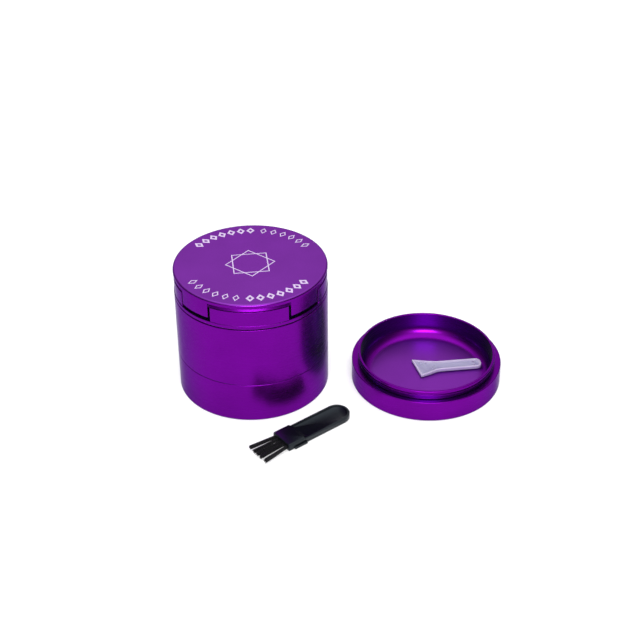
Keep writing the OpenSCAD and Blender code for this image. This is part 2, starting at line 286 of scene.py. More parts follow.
def anodised(name, tone, centre, sheen, face=None, face_tone=None):
    """Dyed anodising on turned aluminium: fine tool lines round the axis, a faint grain, and a
    slow change of tone. The lines follow height on a wall and radius on a flat. A face is a
    bead-blasted part in its own tone, given as ("height" or "radius", where it fades, where it is
    full)."""
    material, nodes, shader = new_material(name)
    place, radius, height = axis_coordinates(nodes, centre)
    along = nodes.math("ADD", radius, height)
    lines = noise(nodes, along, 5200, 4.0, "1D")
    broad = noise(nodes, along, 420, 2.0, "1D")
    grain = noise(nodes, place, 5200, 2.0)
    cloud = noise(nodes, place, 60, 3.0)
    blasted, base = 0.0, tone
    if face:
        kind, fades, full = face
        ramp = nodes.add("ShaderNodeMapRange")
        ramp.inputs["From Min"].default_value = fades
        ramp.inputs["From Max"].default_value = full
        nodes.link(height if kind == "height" else radius, ramp.inputs["Value"])
        blasted = ramp.outputs["Result"]
        base = mix_colour(nodes, blasted, tone, face_tone)
    shade = mix_colour(nodes, cloud, (0.84, 0.84, 0.84), (1.12, 1.12, 1.12))
    nodes.link(nodes.multiply(base, shade), shader.inputs["Base Color"])
    turned = nodes.math("SUBTRACT", 1.0, blasted)
    marks = nodes.math("ADD", nodes.around(lines, 0.0, 0.025), nodes.around(broad, 0.0, 0.015))
    polish = nodes.math("ADD", nodes.math("MULTIPLY", marks, turned), 0.27)
    nodes.link(nodes.math("ADD", polish, nodes.math("MULTIPLY", blasted, 0.14)),
               shader.inputs["Roughness"])
    grainy = nodes.math("ADD", nodes.math("MULTIPLY", blasted, 0.85), 0.15)
    height_map = nodes.math("ADD", nodes.math("MULTIPLY", lines, turned),
                            nodes.math("MULTIPLY", grain, grainy))
    relief(nodes, shader, height_map, 0.12, 0.0006 * MM)
    set_shader(shader, Metallic=1.0, Specular_Tint=tuple(colours().edge), Coat_Weight=0.04,
               Coat_Roughness=0.25, Coat_IOR=1.5, Sheen_Weight=sheen, Sheen_Roughness=0.35,
               Sheen_Tint=(0.75, 0.8, 1.0))
    return material


def brushed_metal(name, tone, roughness, scale=3000.0):
    """Plain metal with a fine grain."""
    material, nodes, shader = new_material(name)
    place = nodes.add("ShaderNodeTexCoord").outputs["Object"]
    grain = noise(nodes, place, scale, 3.0)
    spots = noise(nodes, place, 220, 2.0)
    dark = tuple(c * 0.8 for c in tone)
    nodes.link(mix_colour(nodes, spots, dark, tuple(tone)), shader.inputs["Base Color"])
    nodes.link(nodes.around(grain, roughness, 0.14), shader.inputs["Roughness"])
    relief(nodes, shader, grain, 0.25, 0.006 * MM)
    set_shader(shader, Metallic=1.0)
    return material


def moulded(name, tone, roughness, grain_scale, depth, **extra):
    """Moulded plastic: an orange-peel relief, faint flow marks and a change of gloss."""
    material, nodes, shader = new_material(name)
    place = nodes.add("ShaderNodeTexCoord").outputs["Object"]
    peel = noise(nodes, place, grain_scale, 4.0)
    flow = noise(nodes, place, 90, 3.0)
    dark = tuple(c * 0.88 for c in tone)
    bright = tuple(min(1.0, c * 1.08) for c in tone)
    nodes.link(mix_colour(nodes, flow, dark, bright), shader.inputs["Base Color"])
    nodes.link(nodes.around(flow, roughness, 0.16), shader.inputs["Roughness"])
    relief(nodes, shader, peel, 0.35, depth)
    set_shader(shader, **extra)
    return material


FINISHES = {}


def finish(name):
    """The material of one finish, made once."""
    if name not in FINISHES:
        FINISHES[name] = make_finish(name)
    return FINISHES[name]


def milky(name, tone, roughness, cloudy, clear, depth):
    """Translucent plastic, from its share of cloudiness, its share of clearness and how deep the
    light goes in."""
    return moulded(name, tone, roughness, 900, 0.02 * MM, Subsurface_Weight=cloudy,
                   Subsurface_Radius=(0.9, 0.8, 1.0), Subsurface_Scale=depth,
                   Transmission_Weight=clear, IOR=1.49, Coat_Weight=0.1)


def waxy(name, tone, roughness, grain_scale, cloudy):
    """Soft pale plastic or rubber that lets a little light in."""
    return moulded(name, tone, roughness, grain_scale, 0.01 * MM, Subsurface_Weight=cloudy,
                   Subsurface_Scale=1 * MM)


def make_finish(name):
    """Makes the material of one finish."""
    c = colours()
    axis = (0, 0)
    makers = {
        "anodised_wall": lambda: anodised(name, tuple(c.body), axis, 0.06),
        "anodised_lid": lambda: anodised(name, tuple(c.body), axis, 0.06, lid_face(), tuple(c.lid)),
        "anodised_dish": lambda: anodised(name, tuple(c.dish), dish_centre(), 0.03, dish_face(),
                                          tuple(c.dish_floor)),
        "bared_mark": lambda: moulded(name, tuple(c.mark), 0.5, 6000, 0.01 * MM, Metallic=0.5),
        "milky_plastic": lambda: milky(name, tuple(c.scraper), 0.35, 0.6, 0.25, 1.5 * MM),
        "milky_thin": lambda: milky(name, tuple(c.thin), 0.3, 0.4, 0.45, 1 * MM),
        "black_plastic": lambda: moulded(name, tuple(c.black), 0.3, 1500, 0.02 * MM, IOR=1.36,
                                         Specular_Tint=(0.7, 0.85, 1.0)),
        "bristle_nylon": lambda: moulded(name, tuple(c.bristle), 0.4, 4000, 0.01 * MM, IOR=1.36),
        "stainless": lambda: brushed_metal(name, tuple(c.steel), 0.3),
        "sieve_wire": lambda: brushed_metal(name, tuple(c.steel), 0.34, 9000),
        "nickel": lambda: brushed_metal(name, tuple(c.nickel), 0.16),
        "nylon": lambda: waxy(name, tuple(c.nylon), 0.42, 1200, 0.2),
        "silicone": lambda: waxy(name, tuple(c.silicone), 0.5, 1000, 0.3),
    }
    return makers[name]()


# ---------------------------------------------------------------- mesh helpers


def box_of(node):
    """Half width, lowest and highest corner of a CAD node."""
    low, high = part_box(node)
    return (high.x - low.x) / 2, low, high


def centre_of(node):
    """Middle of a CAD node, seen from above."""
    low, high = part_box(node)
    return (low.x + high.x) / 2, (low.y + high.y) / 2


def dish_centre():
    """Axis of the dish."""
    return centre_of("catcher_dish")


def lid_face():
    """Where the lid's blasted top begins."""
    top = box_of("cap")[2].z
    return "height", top - 0.5 * MM, top - 0.05 * MM


def dish_face():
    """Where the flat of the dish's floor begins."""
    edge = box_of("catcher_dish")[0] - sizes().ledge - sizes().spigot_wall - sizes().dish_sweep
    return "radius", edge + 1.5 * MM, edge - 0.5 * MM


def rounded(outline, steps=4, ring=True):
    """Fillets the corners of a half-plane outline of (radius, height, fillet) points. Each
    straight gets a point close to both of its ends, so that it shades flat."""
    count = len(outline)
    points = []
    for i, (r, z, fillet) in enumerate(outline):
        here = Vector((r, z))
        if not ring and i in (0, count - 1):
            points.append([here])
            continue
        back = Vector(outline[i - 1][:2]) - here
        ahead = Vector(outline[(i + 1) % count][:2]) - here
        turn = math.pi - back.angle(ahead)
        cut = min(fillet * math.tan(turn / 2), 0.49 * back.length, 0.49 * ahead.length)
        if cut <= TINY:
            points.append([here])
            continue
        a, b = here + back.normalized() * cut, here + ahead.normalized() * cut
        radius = cut / math.tan(turn / 2)
        middle = here + (back.normalized() + ahead.normalized()).normalized() * (
            radius / math.cos(turn / 2)
        )
        start, end = (a - middle).normalized(), (b - middle).normalized()
        points.append([middle + start.slerp(end, k / steps) * radius for k in range(steps + 1)])
    flat = []
    for i, arc in enumerate(points):
        flat += arc
        if not ring and i == count - 1:
            break
        start, end = arc[-1], points[(i + 1) % count][0]
        gap = (end - start).length
        inset = min(0.05 * MM, gap / 4)
        if gap > 10 * TINY:
            flat.append(start.lerp(end, inset / gap))
            flat.append(start.lerp(end, 1 - inset / gap))
    return [(p.x, p.y) for p in flat]


def turn_mesh(mesh, outline, centre=(0, 0), ring=True, steps=TURN_STEPS, missing=0.0):
    """Adds the solid that an outline sweeps round a vertical axis. An open outline starts and
    ends on the axis. A missing angle leaves a gap centred on +X, closed by flat ends."""
    sweep = 2 * math.pi - missing
    count = steps + 1 if missing else steps
    loops = []
    for r, z in outline:
        spokes = 1 if r < TINY else count
        turns = [missing / 2 + sweep * k / steps for k in range(spokes)]
        loops.append([
            mesh.verts.new((centre[0] + r * math.cos(a), centre[1] + r * math.sin(a), z))
            for a in turns
        ])
    pairs = list(zip(loops, loops[1:]))
    if ring:
        pairs.append((loops[-1], loops[0]))
    for a, b in pairs:
        for k in range(steps):
            n = (k + 1) % count
            face = list(dict.fromkeys((a[k % len(a)], a[n % len(a)], b[n % len(b)], b[k % len(b)])))
            if len(face) > 2:
                mesh.faces.new(face)
    if missing:
        mesh.faces.new([loop[0] for loop in loops])
        mesh.faces.new([loop[-1] for loop in loops])


def inset_corners(corners, inset):
    """Moves every edge of a counter-clockwise polygon of (x, y, fillet) corners inwards."""
    moved = []
    for i, (x, y, fillet) in enumerate(corners):
        here = Vector((x, y))
        back = (here - Vector(corners[i - 1][:2])).normalized()
        ahead = (Vector(corners[(i + 1) % len(corners)][:2]) - here).normalized()
        side = Vector((-back.y, back.x))
        inward = (side + Vector((-ahead.y, ahead.x))).normalized()
        spot = here + inward * (inset / max(0.3, inward.dot(side)))
        convex = back.x * ahead.y - back.y * ahead.x > 0
        fillet = max(fillet - inset, 0.15 * MM) if convex else fillet + inset
        moved.append((spot.x, spot.y, fillet))
    return moved


def slab(mesh, levels, place, steps=5):
    """Adds a solid of stacked outlines. Levels are (corners, inset, height) from foot to top."""
    loops = []
    for corners, inset, z in levels:
        outline = rounded(inset_corners(corners, inset), steps)
        loops.append([mesh.verts.new(place @ Vector((x, y, z))) for x, y in outline])
    for a, b in zip(loops, loops[1:]):
        for k in range(len(a)):
            n = (k + 1) % len(a)
            mesh.faces.new((a[k], a[n], b[n], b[k]))
    mesh.faces.new(loops[0])
    mesh.faces.new(loops[-1])


def rectangle(x0, x1, half, near, far):
    """Corners of a rectangle along X, with one fillet at its near end and one at its far end."""
    return [(x0 * MM, -half * MM, near * MM), (x1 * MM, -half * MM, far * MM),
            (x1 * MM, half * MM, far * MM), (x0 * MM, half * MM, near * MM)]


def in_mm(levels):
    """Turns (corners, inset, height) levels with insets and heights in millimetres to metres."""
    return [(corners, inset * MM, height * MM) for corners, inset, height in levels]


def finish_mesh(name, mesh, material, smooth=True, sharp=None):
    """Turns a bmesh into a piece with outward normals, at the origin."""
    bmesh.ops.recalc_face_normals(mesh, faces=mesh.faces)
    data = bpy.data.meshes.new(name)
    mesh.to_mesh(data)
    mesh.free()
    for polygon in data.polygons:
        polygon.use_smooth = smooth
    if sharp is not None:
        data.set_sharp_from_angle(angle=sharp)
    if material:
        data.materials.append(material)
    piece = bpy.data.objects.new(name, data)
    bpy.context.scene.collection.objects.link(piece)
    return piece


def bake(piece):
    """Replaces a piece's mesh by its evaluated one and drops its modifiers."""
    graph = bpy.context.evaluated_depsgraph_get()
    data = bpy.data.meshes.new_from_object(piece.evaluated_get(graph), depsgraph=graph)
    data.name = piece.name
    piece.modifiers.clear()
    piece.data = data
    return piece


def cut(piece, cutter, operation="DIFFERENCE"):
    """Applies a boolean and keeps crisp edges crisp."""
    modifier = piece.modifiers.new("cut", "BOOLEAN")
    modifier.operation = operation
    modifier.solver = "EXACT"
    modifier.object = cutter
    bake(piece)
    bpy.data.objects.remove(cutter)
    piece.data.set_sharp_from_angle(angle=CREASE)
    return piece


def settle(piece, body, slot, *nodes):
    """Hangs a finished piece on the empty of the body that it rides on and hides the CAD nodes that
    it stands for. The slot is not used.
    """
    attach(piece, body)
    if nodes:
        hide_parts(*nodes)


def turned_ring(name, node, inner, material, body, slot, round_by=0.1 * MM):
    """A plain ring or disc, as tall and wide as its CAD node."""
    outer, low, high = box_of(node)
    mesh = bmesh.new()
    if inner > 0:
        outline = [(inner, low.z, round_by), (outer, low.z, round_by), (outer, high.z, round_by),
                   (inner, high.z, round_by)]
        turn_mesh(mesh, rounded(outline))
    else:
        outline = [(0, low.z, 0), (outer, low.z, round_by), (outer, high.z, round_by), (0, high.z, 0)]
        turn_mesh(mesh, rounded(outline, ring=False), ring=False)
    settle(finish_mesh(name, mesh, finish(material)), body, slot, node)


def spigot_outline(outer, foot, ledge, s):
    """Outer outline of a section from its foot to the mouth of its spigot, as fillet points."""
    edge = s.edge_round
    spigot = outer - s.ledge
    groove = spigot - s.groove
    rise = s.spigot_height
    low, mid, high = ledge + 0.16 * rise, ledge + 0.5 * rise, ledge + 0.66 * rise
    return [
        (outer, foot, edge), (outer, ledge, edge), (groove, ledge, FINE), (groove, low, FINE),
        (spigot, low, FINE), (spigot, mid, FINE), (groove, mid, FINE), (groove, high, FINE),
        (spigot, high, FINE), (spigot, ledge + rise, 0.35 * MM),
    ]


# ---------------------------------------------------------------- geometry node trees


def geometry_tree(name, inputs):
    """An empty geometry tree with named inputs. Returns its helper and the group input node."""
    tree = bpy.data.node_groups.new(name, "GeometryNodeTree")
    tree.interface.new_socket("Geometry", in_out="INPUT", socket_type="NodeSocketGeometry")
    for label, kind, default in inputs:
        socket = tree.interface.new_socket(label, in_out="INPUT", socket_type=kind)
        if default is not None:
            socket.default_value = default
    tree.interface.new_socket("Geometry", in_out="OUTPUT", socket_type="NodeSocketGeometry")
    nodes = Nodes(tree)
    return nodes, nodes.add("NodeGroupInput")


def close_tree(nodes, geometry, given):
    """Ends a tree in Realize Instances and Set Material."""
    realize = nodes.add("GeometryNodeRealizeInstances")
    nodes.link(geometry, realize.inputs["Geometry"])
    paint = nodes.add("GeometryNodeSetMaterial")
    nodes.link(realize.outputs["Geometry"], paint.inputs["Geometry"])
    nodes.link(given.outputs["Material"], paint.inputs["Material"])
    nodes.link(paint.outputs["Geometry"], nodes.add("NodeGroupOutput").inputs[0])


def spoke(nodes, angle, radius):
    """A node that gives the place at an angle and a radius."""
    spot = nodes.add("ShaderNodeCombineXYZ")
    for axis, operation in ((0, "COSINE"), (1, "SINE")):
        nodes.link(nodes.math("MULTIPLY", nodes.math(operation, angle), radius), spot.inputs[axis])
    return spot


def ring_tree():
    """Instances of an object on an arc round the vertical axis, each turned to face outwards."""
    name = "ring_of_pieces"
    known = bpy.data.node_groups.get(name)
    if known:
        return known
    nodes, given = geometry_tree(name, [
        ("Piece", "NodeSocketObject", None), ("Count", "NodeSocketInt", 8),
        ("Radius", "NodeSocketFloat", 0.01), ("Start", "NodeSocketFloat", 0.0),
        ("Step", "NodeSocketFloat", 0.1), ("Material", "NodeSocketMaterial", None),
    ])
    line = nodes.add("GeometryNodeMeshLine")
    nodes.link(given.outputs["Count"], line.inputs["Count"])
    index = nodes.add("GeometryNodeInputIndex").outputs[0]
    turned = nodes.math("MULTIPLY", index, given.outputs["Step"])
    angle = nodes.math("ADD", turned, given.outputs["Start"])
    spot = spoke(nodes, angle, given.outputs["Radius"])
    place = nodes.add("GeometryNodeSetPosition")
    nodes.link(line.outputs["Mesh"], place.inputs["Geometry"])
    nodes.link(spot.outputs[0], place.inputs["Position"])
    info = nodes.add("GeometryNodeObjectInfo")
    nodes.link(given.outputs["Piece"], info.inputs["Object"])
    turn = nodes.add("ShaderNodeCombineXYZ")
    nodes.link(angle, turn.inputs[2])
    spread = nodes.add("GeometryNodeInstanceOnPoints")
    nodes.link(place.outputs["Geometry"], spread.inputs["Points"])
    nodes.link(info.outputs["Geometry"], spread.inputs["Instance"])
    nodes.link(turn.outputs[0], spread.inputs["Rotation"])
    close_tree(nodes, spread.outputs["Instances"], given)
    return nodes.tree


def woven_tree():
    """Round wires woven one over one under, within a disc."""
    nodes, given = geometry_tree("woven_wires", [
        ("Count", "NodeSocketInt", 9), ("Pitch", "NodeSocketFloat", 0.001),
        ("Disc", "NodeSocketFloat", 0.01), ("Wire", "NodeSocketFloat", 0.0001),
        ("Height", "NodeSocketFloat", 0.0), ("Material", "NodeSocketMaterial", None),
    ])
    pitch, wire = given.outputs["Pitch"], given.outputs["Wire"]
    span = nodes.math("MULTIPLY", pitch, nodes.math("SUBTRACT", given.outputs["Count"], 1.0))
    grid = nodes.add("GeometryNodeMeshGrid")
    for socket, value in (("Size X", span), ("Size Y", span),
                          ("Vertices X", given.outputs["Count"]),
                          ("Vertices Y", given.outputs["Count"])):
        nodes.link(value, grid.inputs[socket])
    place = nodes.add("GeometryNodeInputPosition").outputs[0]
    split = nodes.add("ShaderNodeSeparateXYZ")
    nodes.link(place, split.inputs[0])
    x, y, _ = split.outputs
    outside = nodes.add("FunctionNodeCompare", data_type="FLOAT", operation="GREATER_THAN")
    nodes.link(nodes.reach(x, y), outside.inputs["A"])
    nodes.link(nodes.math("SUBTRACT", given.outputs["Disc"], wire), outside.inputs["B"])
    turn = nodes.math("DIVIDE", nodes.math("MULTIPLY", nodes.math("ADD", x, y), math.pi), pitch)
    weave = nodes.math("MULTIPLY", nodes.math("COSINE", turn), wire)
    circle = nodes.add("GeometryNodeCurvePrimitiveCircle")
    circle.inputs["Resolution"].default_value = 4
    nodes.link(wire, circle.inputs["Radius"])
    both = nodes.add("GeometryNodeJoinGeometry")
    ends = nodes.add("GeometryNodeInputMeshEdgeVertices")
    for axis, sign in ((0, 1.0), (1, -1.0)):
        apart = nodes.add("ShaderNodeVectorMath", operation="SUBTRACT")
        nodes.link(ends.outputs["Position 1"], apart.inputs[0])
        nodes.link(ends.outputs["Position 2"], apart.inputs[1])
        parts = nodes.add("ShaderNodeSeparateXYZ")
        nodes.link(apart.outputs[0], parts.inputs[0])
        across = nodes.add("FunctionNodeCompare", data_type="FLOAT", operation="LESS_THAN")
        nodes.link(nodes.math("ABSOLUTE", parts.outputs[axis]), across.inputs["A"])
        nodes.link(nodes.math("MULTIPLY", pitch, 0.5), across.inputs["B"])
        lines = nodes.add("GeometryNodeDeleteGeometry", domain="EDGE", mode="EDGE_FACE")
        nodes.link(grid.outputs["Mesh"], lines.inputs["Geometry"])
        nodes.link(across.outputs[0], lines.inputs["Selection"])
        disc = nodes.add("GeometryNodeDeleteGeometry", domain="POINT", mode="ALL")
        nodes.link(lines.outputs["Geometry"], disc.inputs["Geometry"])
        nodes.link(outside.outputs[0], disc.inputs["Selection"])
        lift = nodes.add("ShaderNodeCombineXYZ")
        height = nodes.math("ADD", nodes.math("MULTIPLY", weave, sign), given.outputs["Height"])
        nodes.link(height, lift.inputs[2])
        wave = nodes.add("GeometryNodeSetPosition")
        nodes.link(disc.outputs["Geometry"], wave.inputs["Geometry"])
        nodes.link(lift.outputs[0], wave.inputs["Offset"])
        nodes.link(tube(nodes, wave.outputs["Geometry"], circle), both.inputs[0])
    close_tree(nodes, both.outputs[0], given)
    return nodes.tree


def tube(nodes, mesh, profile):
    """Round tubes with closed ends along the edges of a mesh."""
    curve = nodes.add("GeometryNodeMeshToCurve")
    nodes.link(mesh, curve.inputs["Mesh"])
    sweep = nodes.add("GeometryNodeCurveToMesh")
    nodes.link(curve.outputs["Curve"], sweep.inputs["Curve"])
    nodes.link(profile.outputs["Curve"], sweep.inputs["Profile Curve"])
    sweep.inputs["Fill Caps"].default_value = True
    return sweep.outputs["Mesh"]


def tuft_tree():
    """A bundle of filaments along +Z that opens a little towards its tips."""
    known = bpy.data.node_groups.get("tuft")
    if known:
        return known
    nodes, given = geometry_tree("tuft", [
        ("Filaments", "NodeSocketInt", 20), ("Foot", "NodeSocketFloat", -0.002),
        ("Length", "NodeSocketFloat", 0.014), ("Radius", "NodeSocketFloat", 0.001),
        ("Spread", "NodeSocketFloat", 0.1), ("Filament", "NodeSocketFloat", 0.0001),
        ("Seed", "NodeSocketInt", 1), ("Material", "NodeSocketMaterial", None),
    ])
    line = nodes.add("GeometryNodeMeshLine")
    nodes.link(given.outputs["Filaments"], line.inputs["Count"])
    index = nodes.add("GeometryNodeInputIndex").outputs[0]
    share = nodes.math("DIVIDE", nodes.math("ADD", index, 0.5), given.outputs["Filaments"])
    radius = nodes.math("MULTIPLY", nodes.math("SQRT", share), given.outputs["Radius"])
    golden_angle = math.pi * (3 - math.sqrt(5))
    spot = spoke(nodes, nodes.math("MULTIPLY", index, golden_angle), radius)
    nodes.link(given.outputs["Foot"], spot.inputs[2])
    feet = nodes.add("GeometryNodeSetPosition")
    nodes.link(line.outputs["Mesh"], feet.inputs["Geometry"])
    nodes.link(spot.outputs[0], feet.inputs["Position"])
    parts = nodes.add("ShaderNodeSeparateXYZ")
    nodes.link(nodes.add("GeometryNodeInputPosition").outputs[0], parts.inputs[0])
    mesh, chosen = feet.outputs["Geometry"], None
    segments, stray, shortest = 3, 0.1 * MM, 0.78
    for k in range(segments):
        last = k == segments - 1
        chance = nodes.add("FunctionNodeRandomValue", data_type="FLOAT_VECTOR")
        chance.inputs["Min"].default_value = (-stray, -stray, shortest if last else 1.0)
        chance.inputs["Max"].default_value = (stray, stray, 1.0)
        nodes.link(nodes.math("ADD", given.outputs["Seed"], float(k)), chance.inputs["Seed"])
        wild = nodes.add("ShaderNodeSeparateXYZ")
        nodes.link(chance.outputs[0], wild.inputs[0])
        step = nodes.add("ShaderNodeCombineXYZ")
        for axis in (0, 1):
            lean = nodes.math("MULTIPLY", parts.outputs[axis], given.outputs["Spread"])
            nodes.link(nodes.math("ADD", lean, wild.outputs[axis]), step.inputs[axis])
        rise = nodes.math("DIVIDE", given.outputs["Length"], float(segments))
        nodes.link(nodes.math("MULTIPLY", rise, wild.outputs[2]), step.inputs[2])
        grow = nodes.add("GeometryNodeExtrudeMesh", mode="VERTICES")
        nodes.link(mesh, grow.inputs["Mesh"])
        if chosen:
            nodes.link(chosen, grow.inputs["Selection"])
        nodes.link(step.outputs[0], grow.inputs["Offset"])
        mesh, chosen = grow.outputs["Mesh"], grow.outputs["Top"]
    circle = nodes.add("GeometryNodeCurvePrimitiveCircle")
    circle.inputs["Resolution"].default_value = 5
    nodes.link(given.outputs["Filament"], circle.inputs["Radius"])
    close_tree(nodes, tube(nodes, mesh, circle), given)
    return nodes.tree


def run_tree(name, tree, **values):
    """A plain mesh made by a geometry tree. Inputs are set by their sockets' identifiers."""
    piece = bpy.data.objects.new(name, bpy.data.meshes.new(name))
    bpy.context.scene.collection.objects.link(piece)
    modifier = piece.modifiers.new("tree", "NODES")
    modifier.node_group = tree
    for item in tree.interface.items_tree:
        if item.item_type == "SOCKET" and item.in_out == "INPUT" and item.name in values:
            modifier[item.identifier] = values[item.name]
    return bake(piece)


def rings_of(name, template, rows, between=False):
    """Joins full rings of one template into one mesh object. Pieces set between start half a step
    further round."""
    s = sizes()
    parts = []
    for out, count in rows:
        step = 2 * math.pi / count
        parts.append(run_tree(f"{name}_row", ring_tree(), Piece=template, Count=count,
                              Radius=s.first_row + out * s.row_pitch, Step=step,
                              Start=step / 2 if between else 0.0, Material=finish("anodised_wall")))
    bpy.data.objects.remove(template)
    return join(name, parts)


def join(name, parts):
    """One object from several that lie at the origin."""
    mesh = bmesh.new()
    for part in parts:
        mesh.from_mesh(part.data)
    data = bpy.data.meshes.new(name)
    mesh.to_mesh(data)
    mesh.free()
    for material in parts[0].data.materials:
        data.materials.append(material)
    for part in parts:
        bpy.data.objects.remove(part)
    piece = bpy.data.objects.new(name, data)
    bpy.context.scene.collection.objects.link(piece)
    return piece


# ---------------------------------------------------------------- turned sections


def bore_radius(s):
    """Bore of the stacked sections."""
    outer, _, _ = box_of("screen_chamber")
    return outer - s.ledge - s.spigot_wall


class GRINDER_OT_screen_section(Operator):
    """Build the screen chamber and what holds its sieve"""

    bl_idname = "grinder.screen_section"
    bl_label = "Screen section"

    def execute(self, context):
        s = sizes()
        body = "screen_section"
        outer, low, high = box_of("screen_chamber")
        bore = bore_radius(s)
        socket = outer - s.ledge + s.socket_gap
        ledge = high.z - s.spigot_height
        _, gasket_low, _ = box_of("screen_gasket")
        _, snap_low, snap_high = box_of("screen_snap_ring")
        shelf_z = gasket_low.z - 1.4 * MM
        shelf_bore = bore - 2.2 * MM
        outline = spigot_outline(outer, low.z, ledge, s) + [
            (bore, high.z, 0.2 * MM), (bore, snap_high.z, FINE), (bore + s.groove, snap_high.z, FINE),
            (bore + s.groove, snap_low.z, FINE), (bore, snap_low.z, FINE), (bore, gasket_low.z, FINE),
            (shelf_bore, gasket_low.z, FINE), (shelf_bore, shelf_z, FINE), (socket, shelf_z, FINE),
            (socket, low.z, FINE),
        ]
        mesh = bmesh.new()
        turn_mesh(mesh, rounded(outline))
        piece = finish_mesh("screen_chamber_shell", mesh, finish("anodised_wall"))
        settle(piece, body, "anodised_body", "screen_chamber")
        turned_ring("gasket", "screen_gasket", shelf_bore + 0.2 * MM, "silicone", body, "silicone")
        for node in ("screen_hoop_lower", "screen_hoop_upper"):
            turned_ring(node + "_steel", node, shelf_bore + 0.4 * MM, "stainless", body, "stainless")
        snap = bore + 0.45 * MM
        snap_inner = snap - 2.05 * MM
        outline = [(snap_inner, snap_low.z, FINE), (snap, snap_low.z, FINE),
                   (snap, snap_high.z, FINE), (snap_inner, snap_high.z, FINE)]
        mesh = bmesh.new()
        turn_mesh(mesh, rounded(outline), missing=s.snap_gap)
        ring = finish_mesh("snap_ring_steel", mesh, finish("stainless"), sharp=math.radians(60))
        settle(ring, body, "stainless", "screen_snap_ring")
        return {"FINISHED"}


class GRINDER_OT_sieve(Operator):
    """Weave the sieve"""

    bl_idname = "grinder.sieve"
    bl_label = "Sieve"

    def execute(self, context):
        s = sizes()
        radius, low, high = box_of("screen_mesh")
        count = 2 * int(radius / s.wire_pitch) + 1
        net = run_tree("sieve_wires", woven_tree(), Count=count, Pitch=s.wire_pitch, Disc=radius,
                       Wire=s.wire_radius, Height=(low.z + high.z) / 2, Material=finish("sieve_wire"))
        settle(net, "screen_section", "screen_wire", "screen_mesh")
        return {"FINISHED"}


class GRINDER_OT_grinding_section(Operator):
    """Build the grinding chamber with its drop holes and lower teeth"""

    bl_idname = "grinder.grinding_section"
    bl_label = "Grinding section"

    def execute(self, context):
        s = sizes()
        outer, low, high = box_of("grinding_chamber")
        bore = bore_radius(s)
        socket = outer - s.ledge + s.socket_gap
        glide, glide_low, _ = box_of("glide_ring")
        glide += s.socket_gap
        socket_top = low.z + 4 * MM
        edge = s.edge_round
        floor_z = high.z - s.tooth_height - 1 * MM
        under = floor_z - s.floor_thickness
        post_r, post_z = 6 * MM, floor_z + s.tooth_height + 0.3 * MM
        cup_r = s.magnet_radius + s.cup_wall
        _, cup_low, _ = box_of("post_magnet_cup")
        outline = [
            (0, under, 0), (bore, under, 0.8 * MM), (bore, socket_top, FINE),
            (socket, socket_top, FINE), (socket, low.z, FINE), (outer, low.z, edge),
            (outer, high.z, edge), (glide, high.z, FINE), (glide, glide_low.z, FINE),
            (bore, glide_low.z, FINE), (bore, floor_z, 0.5 * MM), (post_r, floor_z, 0.4 * MM),
            (post_r, post_z, 0.3 * MM), (cup_r, post_z, 0.05 * MM), (cup_r, cup_low.z, 0.05 * MM),
            (0, cup_low.z, 0),
        ]
        mesh = bmesh.new()
        turn_mesh(mesh, rounded(outline, ring=False), ring=False)
        shell = finish_mesh("grinding_chamber_shell", mesh, finish("anodised_wall"))
        drill = bmesh.new()
        turn_mesh(drill, [(0, under - MM), (s.drop_hole, under - MM), (s.drop_hole, floor_z + MM),
                          (0, floor_z + MM)], ring=False, steps=28)
        cut(shell, rings_of("drills", finish_mesh("drill", drill, None), DROP_ROWS, between=True))
        settle(shell, "grinding_section", "anodised_body", "grinding_chamber")
        tooth = tooth_template(floor_z - 0.3 * MM, floor_z + s.tooth_height)
        settle(rings_of("lower_teeth", tooth, LOWER_ROWS), "grinding_section", "anodised_body")
        return {"FINISHED"}


def tooth_template(root, tip):
    """One diamond tooth with bevelled edges, on the vertical axis."""
    s = sizes()
    mesh = bmesh.new()
    half_w, half_l = s.tooth_width / 2, s.tooth_length / 2
    corners = [(half_w, 0), (0, half_l), (-half_w, 0), (0, -half_l)]
    rings = [[mesh.verts.new((x, y, z)) for x, y in corners] for z in (root, tip)]
    for k in range(4):
        n = (k + 1) % 4
        mesh.faces.new((rings[0][k], rings[0][n], rings[1][n], rings[1][k]))
    mesh.faces.new(rings[0])
    mesh.faces.new(rings[1])
    bmesh.ops.recalc_face_normals(mesh, faces=mesh.faces)
    bmesh.ops.bevel(mesh, geom=list(mesh.edges), offset=FINE, segments=2, affect="EDGES")
    return finish_mesh("tooth", mesh, None, sharp=math.radians(50))


class GRINDER_OT_magnets(Operator):
    """Build the disc magnets, their steel cups and the nylon glide ring"""

    bl_idname = "grinder.magnets"
    bl_label = "Magnets and glide ring"

    def execute(self, context):
        s = sizes()
        for node, body in (("post_magnet", "grinding_section"), ("cap_magnet", "lid"),
                           ("tooth_ring_magnet", "castellated_ring")):
            turned_ring(node + "_disc", node, 0, "nickel", body, "magnet_nickel", 0.15 * MM)
        for node, body, closed_below in (("post_magnet_cup", "grinding_section", True),
                                         ("cap_magnet_cup", "lid", False)):
            outer, low, high = box_of(node)
            foot, mouth = (low.z, high.z) if closed_below else (high.z, low.z)
            seat = foot + (s.cup_wall if closed_below else -s.cup_wall)
            lip = 0.05 * MM
            outline = [(0, foot, 0), (outer, foot, 0.2 * MM), (outer, mouth, lip),
                       (s.magnet_radius, mouth, lip), (s.magnet_radius, seat, lip), (0, seat, 0)]
            mesh = bmesh.new()
            turn_mesh(mesh, rounded(outline, ring=False), ring=False)
            settle(finish_mesh(node + "_steel", mesh, finish("stainless")), body, "cup_steel", node)
        inner = bore_radius(s) - 0.12 * MM
        turned_ring("glide_ring_nylon", "glide_ring", inner, "nylon", "glide", "nylon", 0.15 * MM)
        return {"FINISHED"}


# ---------------------------------------------------------------- castellated pieces


